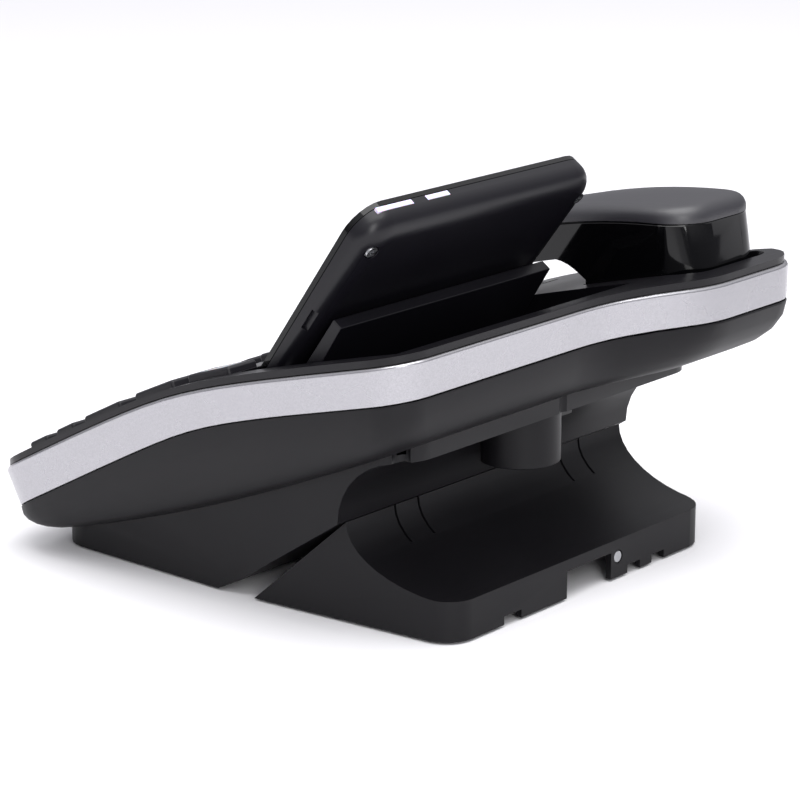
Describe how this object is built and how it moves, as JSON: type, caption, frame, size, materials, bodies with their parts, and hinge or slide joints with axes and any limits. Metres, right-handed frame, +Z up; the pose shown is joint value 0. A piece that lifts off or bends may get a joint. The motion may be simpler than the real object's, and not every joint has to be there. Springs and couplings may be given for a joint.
{
  "type": "cordless phone with base",
  "caption": "Desk phone base with wrap-around silver band, tilting display, sprung keys, clip-on stand and an arched lift-off cordless handset charging in its cradle.",
  "frame": {"origin": "middle of the footprint, on the surface the feet stand on", "axes": "+Z up; +Y from the user's edge to the back; +X to the user's right, so the handset lies at -X"},
  "size_m": [0.216, 0.2296, 0.1575],
  "materials": {
    "battery_wrap": "shrink wrap",
    "black_plastic": "fine matte texture, slight sheen",
    "board": "solder resist",
    "clear_window": "clear hard-coated window",
    "deck_plastic": "smooth satin",
    "gloss_black": "polished",
    "gold": "plated",
    "key_insert": "translucent grey",
    "key_plastic": "satin",
    "lcd_glass": "grey-green display panel",
    "light_pipe": "milky light pipe",
    "paper_cone": "pressed paper",
    "rubber": "matte",
    "silver_paint": "satin metallic paint with fine flake",
    "steel": "bright zinc"
  },
  "bodies": {
    "base": {"bay_turret": "black_plastic", "charge_contact_left": "gold", "charge_contact_right": "gold", "desk_stand": "black_plastic", "front_foot_left": "rubber", "front_foot_right": "rubber", "housing_screw_middle": "steel", "housing_screw_right": "steel", "keypad_mat": "rubber", "line_jack": "gloss_black", "loudspeaker": "paper_cone", "lower_housing": "black_plastic", "main_board": "board", "power_jack": "gloss_black", "rear_foot_left": "rubber", "rear_foot_right": "rubber", "silver_band": "silver_paint", "stand_screw": "steel", "top_deck": "deck_plastic"},
    "display": {"display_bezel": "gloss_black", "display_window": "clear_window", "lcd_panel": "lcd_glass", "display_rear_cover": "black_plastic", "hinge_housing": "black_plastic", "message_light": "light_pipe", "in_use_light": "light_pipe", "display_screw_right": "steel", "display_screw_left": "steel", "hinge_pin_right": "steel", "hinge_pin_left": "steel"},
    "handset": {"handset_shell": "black_plastic", "handset_inner": "gloss_black", "earpiece_speaker": "paper_cone", "microphone": "steel", "handset_board": "board", "battery_pack": "battery_wrap", "charge_pad_left": "gold", "charge_pad_right": "gold"},
    "dial_key_1": {"dial_key_1": "key_plastic"},
    "dial_key_2": {"dial_key_2": "key_plastic"},
    "dial_key_3": {"dial_key_3": "key_plastic"},
    "dial_key_4": {"dial_key_4": "key_plastic"},
    "dial_key_5": {"dial_key_5": "key_plastic"},
    "dial_key_6": {"dial_key_6": "key_plastic"},
    "dial_key_7": {"dial_key_7": "key_plastic"},
    "dial_key_8": {"dial_key_8": "key_plastic"},
    "dial_key_9": {"dial_key_9": "key_plastic"},
    "dial_key_star": {"dial_key_star": "key_plastic"},
    "dial_key_0": {"dial_key_0": "key_plastic"},
    "dial_key_pound": {"dial_key_pound": "key_plastic"},
    "line_key_1": {"line_key_1": "key_plastic", "line_insert_1": "key_insert"},
    "line_key_2": {"line_key_2": "key_plastic", "line_insert_2": "key_insert"},
    "line_key_3": {"line_key_3": "key_plastic", "line_insert_3": "key_insert"},
    "hold_key": {"hold_key": "key_plastic"},
    "speaker_key": {"speaker_key": "key_plastic"},
    "navigation_key": {"navigation_key": "key_plastic"},
    "volume_key": {"volume_key": "key_plastic"}
  },
  "joints": [
    {"name": "display_tilt", "type": "hinge", "parent": "base", "child": "display", "pos_m": [0.0299, 0.0304, 0.0846], "axis": [1, 0, 0], "range_deg": [-30, 12]},
    {"name": "handset_lift", "type": "slide", "parent": "base", "child": "handset", "axis": [0, 0, 1], "range_m": [0, 0.12]},
    {"name": "dial_key_1_press", "type": "slide", "parent": "base", "child": "dial_key_1", "axis": [0, 0.417, -0.9089], "range_m": [0, 0.0015], "stiffness_N_per_m": 600, "springref_m": -0.0005},
    {"name": "dial_key_2_press", "type": "slide", "parent": "base", "child": "dial_key_2", "axis": [0, 0.417, -0.9089], "range_m": [0, 0.0015], "stiffness_N_per_m": 600, "springref_m": -0.0005},
    {"name": "dial_key_3_press", "type": "slide", "parent": "base", "child": "dial_key_3", "axis": [0, 0.417, -0.9089], "range_m": [0, 0.0015], "stiffness_N_per_m": 600, "springref_m": -0.0005},
    {"name": "dial_key_4_press", "type": "slide", "parent": "base", "child": "dial_key_4", "axis": [0, 0.4479, -0.8941], "range_m": [0, 0.0015], "stiffness_N_per_m": 600, "springref_m": -0.0005},
    {"name": "dial_key_5_press", "type": "slide", "parent": "base", "child": "dial_key_5", "axis": [0, 0.4479, -0.8941], "range_m": [0, 0.0015], "stiffness_N_per_m": 600, "springref_m": -0.0005},
    {"name": "dial_key_6_press", "type": "slide", "parent": "base", "child": "dial_key_6", "axis": [0, 0.4479, -0.8941], "range_m": [0, 0.0015], "stiffness_N_per_m": 600, "springref_m": -0.0005},
    {"name": "dial_key_7_press", "type": "slide", "parent": "base", "child": "dial_key_7", "axis": [0, 0.4607, -0.8876], "range_m": [0, 0.0015], "stiffness_N_per_m": 600, "springref_m": -0.0005},
    {"name": "dial_key_8_press", "type": "slide", "parent": "base", "child": "dial_key_8", "axis": [0, 0.4607, -0.8876], "range_m": [0, 0.0015], "stiffness_N_per_m": 600, "springref_m": -0.0005},
    {"name": "dial_key_9_press", "type": "slide", "parent": "base", "child": "dial_key_9", "axis": [0, 0.4607, -0.8876], "range_m": [0, 0.0015], "stiffness_N_per_m": 600, "springref_m": -0.0005},
    {"name": "dial_key_star_press", "type": "slide", "parent": "base", "child": "dial_key_star", "axis": [0, 0.4664, -0.8846], "range_m": [0, 0.0015], "stiffness_N_per_m": 600, "springref_m": -0.0005},
    {"name": "dial_key_0_press", "type": "slide", "parent": "base", "child": "dial_key_0", "axis": [0, 0.4664, -0.8846], "range_m": [0, 0.0015], "stiffness_N_per_m": 600, "springref_m": -0.0005},
    {"name": "dial_key_pound_press", "type": "slide", "parent": "base", "child": "dial_key_pound", "axis": [0, 0.4664, -0.8846], "range_m": [0, 0.0015], "stiffness_N_per_m": 600, "springref_m": -0.0005},
    {"name": "line_key_1_press", "type": "slide", "parent": "base", "child": "line_key_1", "axis": [0, 0.3178, -0.9482], "range_m": [0, 0.0015], "stiffness_N_per_m": 600, "springref_m": -0.0005},
    {"name": "line_key_2_press", "type": "slide", "parent": "base", "child": "line_key_2", "axis": [0, 0.415, -0.9098], "range_m": [0, 0.0015], "stiffness_N_per_m": 600, "springref_m": -0.0005},
    {"name": "line_key_3_press", "type": "slide", "parent": "base", "child": "line_key_3", "axis": [0, 0.456, -0.89], "range_m": [0, 0.0015], "stiffness_N_per_m": 600, "springref_m": -0.0005},
    {"name": "hold_key_press", "type": "slide", "parent": "base", "child": "hold_key", "axis": [0, 0.4651, -0.8853], "range_m": [0, 0.0015], "stiffness_N_per_m": 600, "springref_m": -0.0005},
    {"name": "speaker_key_press", "type": "slide", "parent": "base", "child": "speaker_key", "axis": [0, 0.4683, -0.8836], "range_m": [0, 0.0015], "stiffness_N_per_m": 600, "springref_m": -0.0005},
    {"name": "navigation_key_press", "type": "slide", "parent": "base", "child": "navigation_key", "axis": [0, 0.3365, -0.9417], "range_m": [0, 0.0015], "stiffness_N_per_m": 600, "springref_m": -0.0005},
    {"name": "volume_key_press", "type": "slide", "parent": "base", "child": "volume_key", "axis": [0, 0.4312, -0.9022], "range_m": [0, 0.0015], "stiffness_N_per_m": 600, "springref_m": -0.0005}
  ]
}
